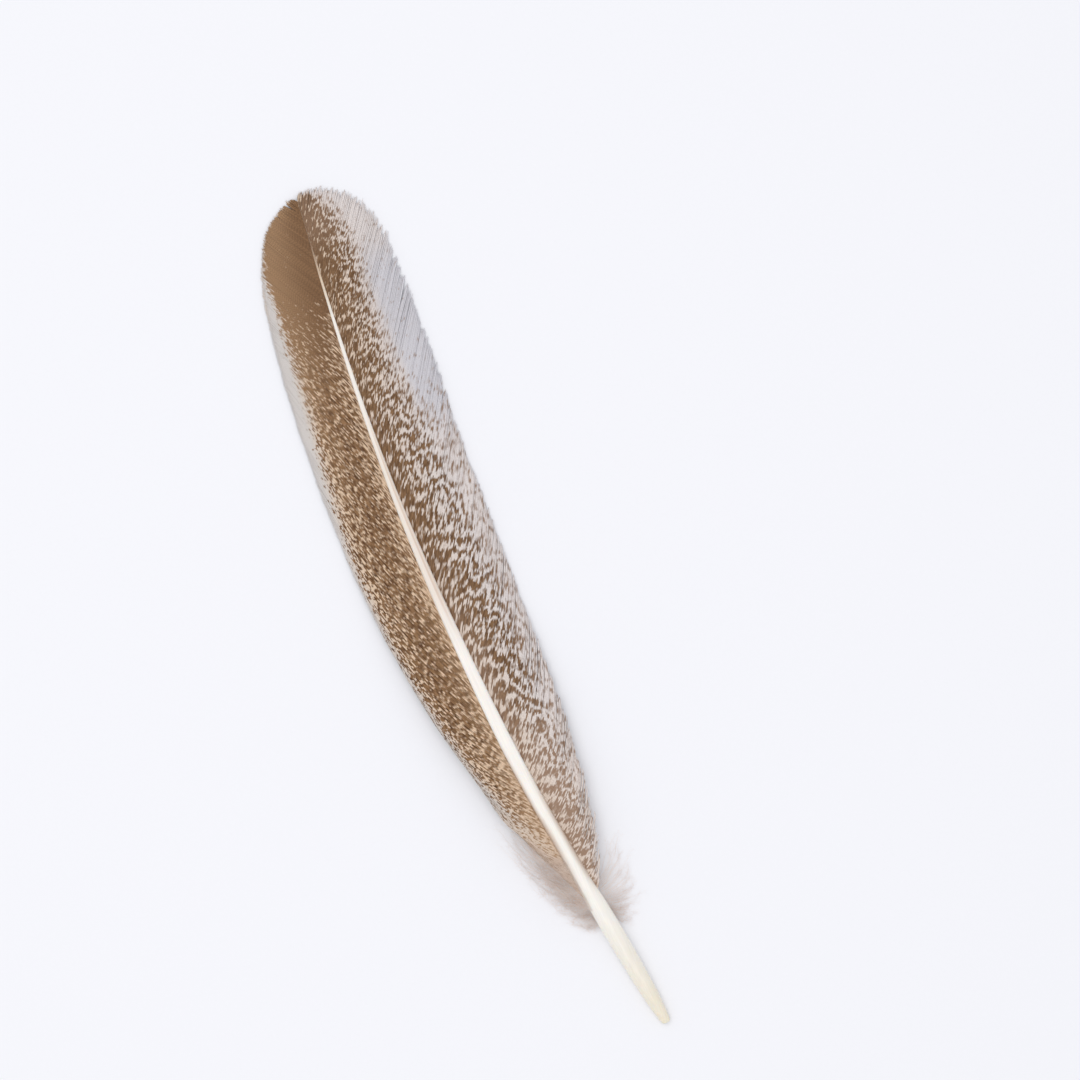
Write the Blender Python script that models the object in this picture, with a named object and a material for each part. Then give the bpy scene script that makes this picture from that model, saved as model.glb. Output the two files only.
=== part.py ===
"""A turkey wing feather lying on its hollow side, upper side up.

The frame: +Y runs from the quill end to the tip, +X to the wide trailing vane and +Z up. The origin is
under the middle of the feather, on the surface that it lies on. Five pieces: the shaft (quill and rachis
in one), the narrow leading vane, the wide trailing vane, and the two tufts of down at the foot of the
vanes. All values below are millimetres in the drawing frame, whose Y starts at the quill end.
"""
import math
from typing import NamedTuple

import bmesh
import bpy
from mathutils import Vector

MM = 0.001

# Shaft: its line seen from above, its width, and how deep it is for its width, each by distance along Y.
SHAFT_LENGTH = 297.0
SHAFT_LINE = ((0, -2.3), (20, -4.3), (60, -8.4), (100, -11.8), (150, -12.8), (190, -12.1),
              (230, -9.4), (265, -5.4), (297, -0.8))
SHAFT_WIDTH = ((0, 3.0), (8, 4.9), (20, 6.0), (36, 6.5), (60, 5.3), (100, 4.7), (160, 3.4),
               (220, 1.8), (260, 1.0), (297, 0.4))
SHAFT_DEPTH_RATIO = ((0, 0.92), (60, 0.95), (110, 1.08), (297, 1.25))
SHAFT_SIDES = 20
SHAFT_STEPS = 72
QUILL_END_ROUNDING = 1.4
QUILL_PIT_INSET = 0.55
QUILL_PIT_DEPTH = 1.0

# The rachis is squarer than the round quill and has a groove down its underside.
RACHIS_START = 50.0
RACHIS_FULL = 95.0
ROUND_POWER = 2.0
RACHIS_POWER = 2.9
GROOVE_DEPTH = 0.16

# The shaft arches over the surface, and the quill rests on a small flat on its underside near the end.
ARCH_HEIGHT = 8.0
ARCH_SPAN = 304.0
ARCH_POWER = 1.25
QUILL_AXIS_HEIGHT = 1.55

# Vanes: guide barbs as (Y of the root, X of the tip, Y of the tip), from the foot of the vane to the top.
LEADING_BARBS = ((49, -12.0, 58.5), (53, -17.5, 74), (60, -22.8, 88), (70, -27.2, 103), (85, -31.2, 127),
                 (100, -34.2, 149), (120, -35.4, 176), (140, -34.7, 197), (160, -33.6, 213),
                 (180, -32.2, 228.5), (200, -30.6, 241.5), (220, -28.6, 254), (240, -26.3, 266),
                 (256, -23.4, 277), (267, -19.9, 284.5), (277, -15.4, 291.8), (286, -9.8, 296),
                 (292, -5.8, 298), (296.2, -2.6, 298.8))
TRAILING_BARBS = ((50, -2.6, 55), (55, 1.0, 62), (61, 3.4, 72), (70, 6.3, 86), (82, 8.9, 104),
                  (100, 11.2, 134), (120, 12.8, 158), (140, 14.4, 181), (160, 15.8, 204),
                  (180, 18.2, 226), (200, 19.8, 246), (220, 20.9, 264), (238, 21.0, 278),
                  (253, 18.9, 287), (266, 14.6, 293), (277, 9.6, 297), (287, 4.8, 299),
                  (296.2, 0.4, 299.8))
VANE_THICKNESS = 0.8
VANE_STEPS = 54
VANE_ACROSS = 6
VANE_BOW = 0.09
VANE_EDGE_HEIGHT = 0.46
VANE_FALL_POWER = 1.55
VANE_FALL_SPAN = (40.0, 118.0)
VANE_ROOT_RISE = 0.12

# Down: the same fans of guide barbs, lower on the quill, hanging to the surface.
LEADING_DOWN = ((38, -12.0, 30), (42, -18.5, 35), (46, -23.0, 46), (50, -25.2, 60), (54, -25.4, 77))
TRAILING_DOWN = ((40, 0.4, 31), (44, 4.8, 37), (48, 7.2, 48), (52, 6.6, 62))
DOWN_THICKNESS = 0.9
DOWN_STEPS = 12
DOWN_ACROSS = 5
DOWN_EDGE_HEIGHT = 0.6
DOWN_FALL_POWER = 0.8
DOWN_FALL_SPAN = (0.0, 10.0)
DOWN_ROOT_RISE = -0.42
DOWN_BOW = 0.02

# Neighbouring pieces are kept this far apart.
GAP = 0.35
LEADING = -1.0
TRAILING = 1.0


def through(rows, key):
    """Read a smooth curve through rows of (key, value, ...) at one key, as a list of its values."""
    last = len(rows) - 1
    place = 0
    while place < last - 1 and key > rows[place + 1][0]:
        place += 1
    start, end = rows[place], rows[place + 1]
    before, after = rows[max(place - 1, 0)], rows[min(place + 2, last)]
    span = end[0] - start[0]
    t = (key - start[0]) / span
    values = []
    for column in range(1, len(start)):
        slope_in = (end[column] - before[column]) / (end[0] - before[0]) * span
        slope_out = (after[column] - start[column]) / (after[0] - start[0]) * span
        values.append((2 * t**3 - 3 * t**2 + 1) * start[column] + (t**3 - 2 * t**2 + t) * slope_in
                      + (3 * t**2 - 2 * t**3) * end[column] + (t**3 - t**2) * slope_out)
    return values


def ease(value, start, end):
    """Go smoothly from 0 at start to 1 at end."""
    t = min(max((value - start) / (end - start), 0.0), 1.0)
    return t * t * (3.0 - 2.0 * t)


def shaft_size(y):
    """Width and depth of the shaft at a distance along it."""
    width = through(SHAFT_WIDTH, y)[0]
    return width, width * through(SHAFT_DEPTH_RATIO, y)[0]


def shaft_axis(y):
    """Middle of the shaft at a distance along it."""
    rise = ARCH_HEIGHT * math.sin(math.pi * y / ARCH_SPAN) ** ARCH_POWER
    return Vector((through(SHAFT_LINE, y)[0], y, QUILL_AXIS_HEIGHT + rise))


def shaft_section(y, scale):
    """One cross-section of the shaft: round at the quill, squarer and grooved below along the rachis."""
    width, depth = shaft_size(y)
    rachis = ease(y, RACHIS_START, RACHIS_FULL)
    power = ROUND_POWER + (RACHIS_POWER - ROUND_POWER) * rachis
    axis = shaft_axis(y)
    section = []
    for side in range(SHAFT_SIDES):
        angle = 2 * math.pi * side / SHAFT_SIDES
        across, up = math.cos(angle), math.sin(angle)
        stretch = (abs(across) ** power + abs(up) ** power) ** (-1.0 / power) * scale
        under = max(-up, 0.0) ** 12
        height = up * stretch * depth / 2 + GROOVE_DEPTH * depth * rachis * under
        point = axis + Vector((across * stretch * width / 2, 0, height))
        section.append(Vector((point.x, point.y, max(point.z, 0.0))))
    return section


def add_loop(mesh, points):
    """Add one closed loop of edges to a bmesh and give back the edges."""
    verts = [mesh.verts.new(point * MM) for point in points]
    return [mesh.edges.new((vert, verts[(index + 1) % len(verts)])) for index, vert in enumerate(verts)]


def make_shaft(material):
    """The quill and rachis: one sweep, a rounded quill end with its small pit, and a fine tip."""
    mesh = bmesh.new()
    places = [(QUILL_END_ROUNDING * (1 - math.cos(step)), 0.62 + 0.38 * math.sin(step))
              for step in (0.0, math.pi / 6, math.pi / 3)]
    first = QUILL_END_ROUNDING
    for step in range(SHAFT_STEPS + 1):
        places.append((first + (SHAFT_LENGTH - first) * step / SHAFT_STEPS, 1.0))
    loops = [add_loop(mesh, shaft_section(y, scale)) for y, scale in places]
    for lower, upper in zip(loops, loops[1:]):
        bmesh.ops.bridge_loops(mesh, edges=lower + upper)
    mesh.faces.new([edge.verts[0] for edge in loops[-1]])
    end = mesh.faces.new([edge.verts[0] for edge in loops[0]])
    bmesh.ops.recalc_face_normals(mesh, faces=mesh.faces)
    bmesh.ops.inset_region(mesh, faces=[end], thickness=QUILL_PIT_INSET * MM)
    bmesh.ops.translate(mesh, verts=end.verts, vec=Vector((0, QUILL_PIT_DEPTH * MM, 0)))
    return add_object("shaft", mesh, material)


class Fan(NamedTuple):
    """A thin sheet that follows a fan of barbs from the shaft out to their tips."""

    side: float
    guides: tuple
    steps: int
    across: int
    thickness: float
    bow: float
    root_rise: float
    edge_height: float
    fall_power: float
    fall_span: tuple

    def point(self, y, share):
        """A point on the barb that leaves the shaft at y: share is 0 at its root and 1 at its tip."""
        width, depth = shaft_size(y)
        root = shaft_axis(y) + Vector((self.side * (width / 2 + GAP), 0, self.root_rise * depth))
        tip = Vector(through(self.guides, y))
        run = tip - root.xy
        bow = self.side * self.bow * 4 * share * (1 - share)
        flat = root.xy + run * share + Vector((run.y, -run.x)) * bow
        drop = (root.z - self.edge_height) * ease(y, *self.fall_span) * share ** self.fall_power
        return Vector((*flat, root.z - drop))

    def make(self, name, material):
        """Shape a grid to the barbs, then give it its thickness."""
        mesh = bmesh.new()
        grid = bmesh.ops.create_grid(mesh, x_segments=self.across, y_segments=self.steps, size=0.5)
        first, last = self.guides[0][0], self.guides[-1][0]
        for vert in grid["verts"]:
            y = first + (last - first) * (vert.co.y + 0.5)
            vert.co = self.point(y, vert.co.x + 0.5) * MM
        if self.side < 0:
            bmesh.ops.reverse_faces(mesh, faces=mesh.faces)
        sheet = add_object(name, mesh, material)
        solid = sheet.modifiers.new("thickness", "SOLIDIFY")
        solid.thickness = self.thickness * MM
        solid.offset = 0.0
        return sheet


def vane(side, guides):
    """One vane: level where it leaves the shaft and curved down to rest on its outer edge."""
    return Fan(side, guides, VANE_STEPS, VANE_ACROSS, VANE_THICKNESS, VANE_BOW, VANE_ROOT_RISE,
               VANE_EDGE_HEIGHT, VANE_FALL_POWER, VANE_FALL_SPAN)


def down(side, guides):
    """One tuft of down: a low fan that hangs from the quill to the surface."""
    return Fan(side, guides, DOWN_STEPS, DOWN_ACROSS, DOWN_THICKNESS, DOWN_BOW, DOWN_ROOT_RISE,
               DOWN_EDGE_HEIGHT, DOWN_FALL_POWER, DOWN_FALL_SPAN)


def add_object(name, mesh, material):
    """Turn a bmesh into a smooth-shaded object with its own material."""
    data = bpy.data.meshes.new(name)
    mesh.to_mesh(data)
    mesh.free()
    data.shade_smooth()
    data.set_sharp_from_angle(angle=math.radians(40))
    data.materials.append(material)
    item = bpy.data.objects.new(name, data)
    bpy.context.scene.collection.objects.link(item)
    return item


def make_material(name, hex_colour, roughness):
    """A Principled BSDF of one colour, given as sRGB hex."""
    channels = [int(hex_colour[place:place + 2], 16) / 255 for place in (0, 2, 4)]
    linear = [c / 12.92 if c <= 0.04045 else ((c + 0.055) / 1.055) ** 2.4 for c in channels]
    material = bpy.data.materials.new(name)
    material.use_nodes = True
    shader = material.node_tree.nodes["Principled BSDF"]
    shader.inputs["Base Color"].default_value = (*linear, 1.0)
    shader.inputs["Roughness"].default_value = roughness
    shader.inputs["Metallic"].default_value = 0.0
    return material


def centre_on_origin(pieces):
    """Parent the pieces to an empty that brings the middle of their box over the origin, bottom at zero."""
    bpy.context.view_layer.update()
    depsgraph = bpy.context.evaluated_depsgraph_get()
    points = []
    for piece in pieces:
        evaluated = piece.evaluated_get(depsgraph)
        points.extend(vert.co.copy() for vert in evaluated.data.vertices)
    low = [min(point[axis] for point in points) for axis in range(3)]
    high = [max(point[axis] for point in points) for axis in range(3)]
    holder = bpy.data.objects.new("feather", None)
    bpy.context.scene.collection.objects.link(holder)
    holder.location = (-(low[0] + high[0]) / 2, -(low[1] + high[1]) / 2, -low[2])
    for piece in pieces:
        piece.parent = holder


def main():
    """Clear the scene and build the five pieces."""
    for item in list(bpy.data.objects):
        bpy.data.objects.remove(item, do_unlink=True)
    pieces = [
        make_shaft(make_material("ivory keratin", "F3EBE2", 0.35)),
        vane(LEADING, LEADING_BARBS).make("leading_vane", make_material("brown barbs", "8A6B4E", 0.65)),
        vane(TRAILING, TRAILING_BARBS).make("trailing_vane", make_material("mottled barbs", "A89080", 0.65)),
        down(LEADING, LEADING_DOWN).make("leading_down", make_material("leading down", "D5CBC8", 0.85)),
        down(TRAILING, TRAILING_DOWN).make("trailing_down", make_material("trailing down", "D8CFCB", 0.85)),
    ]
    centre_on_origin(pieces)


main()
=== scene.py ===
"""Looks of a turkey wing feather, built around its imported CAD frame.

The feather lies with its upper side up. Each vane is a fan of single barbs, each tuft of down is one or
two fans of fine barbs with barbules, and the shaft is one swept piece. Sizes are in millimetres on the
feather's own drawing, whose Y runs from the quill end to the tip; FeatherPlan carries them into the frame.
"""
import logging
import math
from dataclasses import dataclass
from enum import Enum
from functools import partial
from statistics import NormalDist
from typing import Callable

import bpy
import numpy as np
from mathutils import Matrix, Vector


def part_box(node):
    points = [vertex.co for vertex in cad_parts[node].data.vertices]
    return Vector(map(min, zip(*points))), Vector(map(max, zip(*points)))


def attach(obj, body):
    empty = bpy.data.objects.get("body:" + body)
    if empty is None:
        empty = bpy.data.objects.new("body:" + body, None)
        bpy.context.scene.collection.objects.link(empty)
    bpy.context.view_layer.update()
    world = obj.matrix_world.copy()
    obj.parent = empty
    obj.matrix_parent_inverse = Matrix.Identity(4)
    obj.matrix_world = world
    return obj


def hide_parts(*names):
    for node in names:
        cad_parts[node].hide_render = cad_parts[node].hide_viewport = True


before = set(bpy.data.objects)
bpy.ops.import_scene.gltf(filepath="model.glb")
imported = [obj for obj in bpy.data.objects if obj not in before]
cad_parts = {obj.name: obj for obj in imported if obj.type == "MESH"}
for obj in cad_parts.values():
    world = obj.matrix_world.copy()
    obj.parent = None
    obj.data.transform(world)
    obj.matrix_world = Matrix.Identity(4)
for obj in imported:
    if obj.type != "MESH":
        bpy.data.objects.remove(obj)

MM = 0.001
BODY = "root"
KERATIN_IOR = 1.54
Rows = tuple[tuple[float, ...], ...]
Faces = list[tuple[int, ...]]
Array = np.ndarray
Item = bpy.types.Object
Material = bpy.types.Material
Node = bpy.types.Node
Socket = bpy.types.NodeSocket
Adder = Callable[..., Node]
log = logging.getLogger("feather")


class Side(Enum):
    """The two sides of the shaft, with the sign of their X direction."""

    LEADING = -1.0
    TRAILING = 1.0


# ---------------- curves and small tools

def through(rows: Rows, keys: Array) -> Array:
    """Read a smooth curve through rows of (key, value, ...).

    Args:
        rows: the points of the curve, in order of their key.
        keys: the keys to read, in any shape.

    Returns:
        The values, in the shape of keys with one axis more.
    """
    table = np.array(rows, float)
    key, value = table[:, 0], table[:, 1:]
    at = np.clip(np.searchsorted(key, keys, side="left") - 1, 0, len(key) - 2)
    before = np.maximum(np.arange(len(key)) - 1, 0)
    after = np.minimum(np.arange(len(key)) + 1, len(key) - 1)
    slope = (value[after] - value[before]) / (key[after] - key[before])[:, None]
    span = (key[at + 1] - key[at])[..., None]
    t = (np.asarray(keys, float) - key[at])[..., None] / span
    return ((2 * t**3 - 3 * t**2 + 1) * value[at] + (t**3 - 2 * t**2 + t) * span * slope[at]
            + (3 * t**2 - 2 * t**3) * value[at + 1] + (t**3 - t**2) * span * slope[at + 1])


def ease(value: Array, start: Array | float, end: Array | float) -> Array:
    """Go smoothly from 0 at start to 1 at end; start may be the larger of the two.

    Args:
        value: what is eased.
        start: where the result is 0.
        end: where the result is 1.

    Returns:
        The eased values.
    """
    t = np.clip((value - start) / (np.asarray(end, float) - start), 0, 1)
    return t * t * (3 - 2 * t)


def steps(y: Array, start: float, *changes: tuple[float, float, float]) -> Array:
    """A level that changes smoothly, in steps, along the feather.

    Args:
        y: distances along the shaft.
        start: the level without its changes.
        changes: for each change its size, the distance where it begins and the one where it is whole.

    Returns:
        The level at each distance.
    """
    level = np.full_like(y, start)
    for size, begins, whole in changes:
        level = level + size * ease(y, begins, whole)
    return level


def wander(rng: np.random.Generator, shape: tuple[int, int], knots: tuple[int, int]) -> Array:
    """Smooth random values over a fan of barbs.

    Args:
        rng: the seeded source.
        shape: how many barbs, and how many stations along each.
        knots: how many independent values across the fan and along a barb.

    Returns:
        An array of that shape, about as wide as a normal distribution.
    """
    values = rng.normal(size=knots)
    for axis in (1, 0):
        keys = np.linspace(0, knots[axis] - 1, shape[axis])
        values = np.apply_along_axis(lambda row: np.interp(keys, range(knots[axis]), row), axis, values)
    return values


def probit(share: Array) -> Array:
    """How far above its mean a normal value lies below which this share of all values falls."""
    table = np.linspace(0.0003, 0.9997, 400)
    normal = [NormalDist().inv_cdf(value) for value in table]
    return np.interp(share, table, normal)


def unit(vectors: Array) -> Array:
    """Give vectors the length 1."""
    return vectors / np.maximum(np.linalg.norm(vectors, axis=-1, keepdims=True), 1e-12)


def directions(lines: Array) -> tuple[Array, Array]:
    """Find the ways that a fan's lines run.

    Args:
        lines: the points of the lines, as line, station, XYZ.

    Returns:
        The unit vectors along the lines, and the steps square to them that lead to the next line.
    """
    along = unit(np.gradient(lines, axis=1))
    beside = np.gradient(lines, axis=0)
    return along, beside - (beside * along).sum(-1, keepdims=True) * along


def note(mesh: bpy.types.Mesh, values: dict[str, Array]) -> None:
    """Write attributes on a mesh, one number for each vertex."""
    for key, numbers in values.items():
        attribute = mesh.attributes.new(key, "FLOAT", "POINT")
        attribute.data.foreach_set("value", np.ascontiguousarray(numbers, np.float32).ravel())


def linear(hex_colour: str) -> tuple[float, float, float, float]:
    """Turn an sRGB hex colour into Blender's linear RGBA."""
    srgb = [int(hex_colour[place:place + 2], 16) / 255 for place in (0, 2, 4)]
    return (*(c / 12.92 if c <= 0.04045 else ((c + 0.055) / 1.055) ** 2.4 for c in srgb), 1.0)


def set_inputs(node: Node, inputs: dict) -> None:
    """Link or set inputs of a node.

    Args:
        node: the node.
        inputs: values by input name or number; a socket or a node's first output is linked, a hex colour
            or any other value is set.
    """
    for key, value in inputs.items():
        value = value.outputs[0] if isinstance(value, Node) else value
        if isinstance(value, Socket):
            node.id_data.links.new(value, node.inputs[key])
        else:
            node.inputs[key].default_value = linear(value) if isinstance(value, str) else value


def add_node(tree: bpy.types.NodeTree, kind: str, inputs: dict | None = None, **settings) -> Node:
    """Add one shader node with its settings and its inputs.

    Args:
        tree: the material's node tree.
        kind: the node's type name, after its first words "ShaderNode".
        inputs: values by input name or number, as for set_inputs.
        settings: properties of the node itself.

    Returns:
        The node.
    """
    made = tree.nodes.new("ShaderNode" + kind)
    for name, value in settings.items():
        setattr(made, name, value)
    set_inputs(made, inputs or {})
    return made


def new_material(name: str) -> tuple[Material, Node, Adder]:
    """Start a material, and return it with its shader and with add_node for its own node tree."""
    material = bpy.data.materials.new(name)
    material.use_nodes = True
    tree = material.node_tree
    return material, tree.nodes["Principled BSDF"], partial(add_node, tree)


def start_ring(sides: int, radius: float, turn: tuple[float, float, float]) -> Item:
    """Add a filled ring at the origin and open it in edit mode, all selected and ready to be extruded.

    Args:
        sides: how many corners the ring has.
        radius: its radius.
        turn: the rotation that points it along the way of the extrusion.

    Returns:
        The object, active and in edit mode.
    """
    bpy.ops.object.select_all(action="DESELECT")
    bpy.ops.mesh.primitive_circle_add(vertices=sides, radius=radius, fill_type="NGON", rotation=turn,
                                      location=(0, 0, 0))
    item = bpy.context.active_object
    bpy.ops.object.transform_apply(location=True, rotation=True, scale=True)
    bpy.ops.object.mode_set(mode="EDIT")
    bpy.ops.mesh.select_all(action="SELECT")
    return item


def close_outwards() -> None:
    """Point all faces of the object in edit mode outwards, and leave edit mode."""
    bpy.ops.mesh.select_all(action="SELECT")
    bpy.ops.mesh.normals_make_consistent(inside=False)
    bpy.ops.object.mode_set(mode="OBJECT")


# ---------------- the feather's drawing

@dataclass(frozen=True)
class FeatherPlan:
    """The lines that every piece follows, in millimetres, and the way from them into the frame."""

    shaft_length: float = 297.0
    shaft_line: Rows = ((0, -2.3), (20, -4.3), (60, -8.4), (100, -11.8), (150, -12.8), (190, -11.95),
                        (230, -9.1), (265, -5.15), (297, -0.8))
    shaft_width: Rows = ((0, 3.0), (8, 4.9), (20, 6.0), (36, 6.5), (60, 5.3), (100, 4.7), (160, 3.4),
                         (220, 1.8), (260, 1.0), (297, 0.4))
    shaft_depth_ratio: Rows = ((0, 0.92), (60, 0.95), (110, 1.08), (297, 1.25))
    arch_height: float = 8.0  # how far the shaft rises between its two ends
    arch_span: float = 304.0
    arch_power: float = 1.25
    quill_axis_height: float = 1.55

    def size(self, y: Array) -> tuple[Array, Array]:
        """Width and depth of the shaft at distances along it."""
        width = through(self.shaft_width, y)[..., 0]
        return width, width * through(self.shaft_depth_ratio, y)[..., 0]

    def axis(self, y: Array) -> Array:
        """Middle of the shaft at distances along it."""
        bend = np.sin(np.pi * np.clip(y, 0, self.arch_span) / self.arch_span) ** self.arch_power
        return np.stack([through(self.shaft_line, y)[..., 0], y,
                         self.quill_axis_height + self.arch_height * bend], -1)

    def to_frame(self, points: Array) -> Array:
        """Carry points from the drawing, in millimetres, into the frame, in metres."""
        low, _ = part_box("shaft")
        y = np.linspace(0, self.shaft_length, 400)
        left = (self.axis(y)[:, 0] - self.size(y)[0] / 2).min()
        return points * MM + np.array([low.x - left * MM, low.y, 0.0])


PLAN = FeatherPlan()


@dataclass(frozen=True)
class BarbFan:
    """A fan of barbs along one side of the shaft: where each leaves it, and the way that it takes."""

    side: Side
    guides: Rows  # where a barb leaves the shaft, then X and Y of its tip
    spacing: float
    seed: int
    bow: Rows  # how far a barb bends to the side, in shares of its length
    root_rise: float = 0.12  # how high the roots sit above the shaft's middle, in shares of its depth
    edge_height: float = 0.46
    fall_power: float = 1.55  # the higher, the later along a barb it falls
    fall_span: tuple[float, float] = (40.0, 118.0)  # where barbs begin to fall, and where they fall fully
    root_bite: float = 0.45
    lift: float = 0.12
    drift: float = 0.10  # wandering to the side
    ripple: float = 0.025  # wandering up and down
    sway_knots: tuple[int, int] = (45, 5)
    ripple_knots: tuple[int, int] = (36, 6)
    uneven: float = 0.35  # how unequal the barbs' lengths are
    hug: float = 0.25  # how strongly a barb first follows the shaft
    hug_share: float = 0.15  # over which share of its length
    hug_span: tuple[float, float] = (80.0, 125.0)
    clump: float = 0.0  # how strongly tips lean towards the middle of their group
    clump_size: int = 16
    tooth: float = 0.0  # how much longer a barb is for each millimetre that its tip leans
    splits: Rows = ()  # place, depth, width and spread of each split
    split_power: float = 1.3
    loose: Rows = ((0, 0.0), (300, 0.0))  # 1 where barbs hang free of each other
    freedom: float = 5.0  # how much more free barbs wander
    floor_gap: float = 0.1

    def roots(self) -> Array:
        """Distances along the shaft at which the barbs leave it, so that they lie evenly side by side."""
        y = np.linspace(self.guides[0][0], self.guides[-1][0], 900)
        run = through(self.guides, y) - PLAN.axis(y)[:, :2]
        apart = np.abs(run[:, 0]) / np.linalg.norm(run, axis=1)
        row = np.concatenate([[0], np.cumsum((apart[1:] + apart[:-1]) / 2 * np.diff(y))])
        return np.interp(np.linspace(0, row[-1], int(row[-1] / self.spacing)), row, y)

    def looseness(self) -> Array:
        """How loosely each barb hangs on to its neighbours, from 0 to 1."""
        return through(self.loose, self.roots())[:, 0]

    def lines(self, shares: Array) -> Array:
        """The middle lines of all barbs.

        Args:
            shares: the stations along a barb, from 0 at its root to 1 at its tip.

        Returns:
            Points as barb, station, XYZ in millimetres.
        """
        rng = np.random.default_rng(self.seed)
        y, s, sign = self.roots(), shares[None, :, None], self.side.value
        count, free = len(y), 1 + self.freedom * self.looseness()
        width, depth = PLAN.size(y)
        axis = PLAN.axis(y)
        root = axis + np.stack([sign * (width / 2 - self.root_bite), 0 * y, self.root_rise * depth], -1)
        run = through(self.guides, y) - root[:, :2]
        lean = self.clumping(rng, count)
        longer = rng.normal(size=count) * free * self.uneven + lean * self.tooth
        run *= 1 + (longer / np.linalg.norm(run, axis=1))[:, None]
        across = unit(np.stack([run[:, 1], -run[:, 0]], -1) * -sign)[:, None]
        length = np.linalg.norm(run, axis=1)[:, None, None]
        bow = through(self.bow, y)[:, None]
        hug = self.hug * ease(y, *self.hug_span)[:, None, None] * length * self.hug_share
        sideways = hug * (1 - np.exp(-s / self.hug_share)) * (1 - s) - bow * length * 4 * s * (1 - s)
        sway = self.drift * free[:, None] * wander(rng, (count, len(shares)), self.sway_knots)
        sideways = sideways + sway[..., None] * s
        sideways = sideways + lean[:, None, None] * s**5 + self.splitting(shares)[..., None]
        flat = root[:, None, :2] + run[:, None] * s + across * sideways
        fall = ease(y, *self.fall_span)[:, None] * shares[None] ** self.fall_power
        height = root[:, None, 2] - (root[:, None, 2] - self.edge_height) * fall + self.lift
        rise = wander(rng, (count, len(shares)), self.ripple_knots)
        height = height + self.ripple * free[:, None] * rise * shares
        return np.concatenate([flat, np.maximum(height, self.floor_gap)[..., None]], -1)

    def clumping(self, rng: np.random.Generator, count: int) -> Array:
        """How far each barb's tip leans towards the middle of its group, in millimetres."""
        lean, start = np.zeros(count), 0
        while start < count:
            size = int(rng.integers(self.clump_size // 2, self.clump_size * 3 // 2))
            members = np.arange(start, min(start + size, count))
            lean[members] = (members.mean() - members) * self.clump
            start += size
        return lean

    def splitting(self, shares: Array) -> Array:
        """How far barbs on both sides of a split in the vane stand apart, in millimetres."""
        roots = self.roots()
        opened = np.zeros((len(roots), len(shares)))
        for place, depth, width, spread in self.splits:
            apart = roots - place
            push = np.sign(apart) * width / 2 * np.exp(-np.abs(apart) / spread)
            opened += push[:, None] * ease(shares, 1 - depth, 1)[None] ** self.split_power
        return opened


# ---------------- blanks and the laying of them

@dataclass(frozen=True)
class Blank:
    """One straight strand, from X 0 at its root to 1 at its tip, made once and laid along many lines."""

    stations: tuple[float, ...]
    scales: tuple[float, ...]
    sides: int

    def make(self) -> tuple[Array, Faces]:
        """Model the strand: a ring is extruded from station to station and drawn together at the tip.

        Returns:
            Its vertices and its faces.
        """
        item = start_ring(self.sides, self.scales[0], (0, math.pi / 2, 0))
        for index in range(1, len(self.stations)):
            step = self.stations[index] - self.stations[index - 1]
            ratio = self.scales[index] / self.scales[index - 1]
            bpy.ops.mesh.extrude_region_move(TRANSFORM_OT_translate={"value": (step, 0, 0)})
            if self.scales[index] > 0:
                bpy.ops.transform.resize(value=(1, ratio, ratio))
            else:
                bpy.ops.mesh.merge(type="CENTER")
        close_outwards()
        verts = np.array([vert.co for vert in item.data.vertices], float)
        faces = [tuple(face.vertices) for face in item.data.polygons]
        bpy.data.objects.remove(item, do_unlink=True)
        return verts, faces


BARB = Blank((0.0, 0.03, 0.09, 0.18, 0.30, 0.43, 0.56, 0.68, 0.78, 0.86, 0.92, 0.96, 0.985, 1.0),
             (0.8, 0.95, 1.0, 1.0, 1.0, 1.0, 1.0, 1.0, 1.0, 1.0, 0.95, 0.8, 0.5, 0.0), 4)
DOWN_BARB = Blank((0.0, 0.12, 0.26, 0.42, 0.58, 0.74, 0.88, 1.0),
                  (1.0, 0.95, 0.85, 0.75, 0.6, 0.45, 0.3, 0.0), 3)
BARBULE = Blank((0.0, 0.35, 0.7, 1.0), (1.0, 0.8, 0.5, 0.0), 3)


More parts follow.
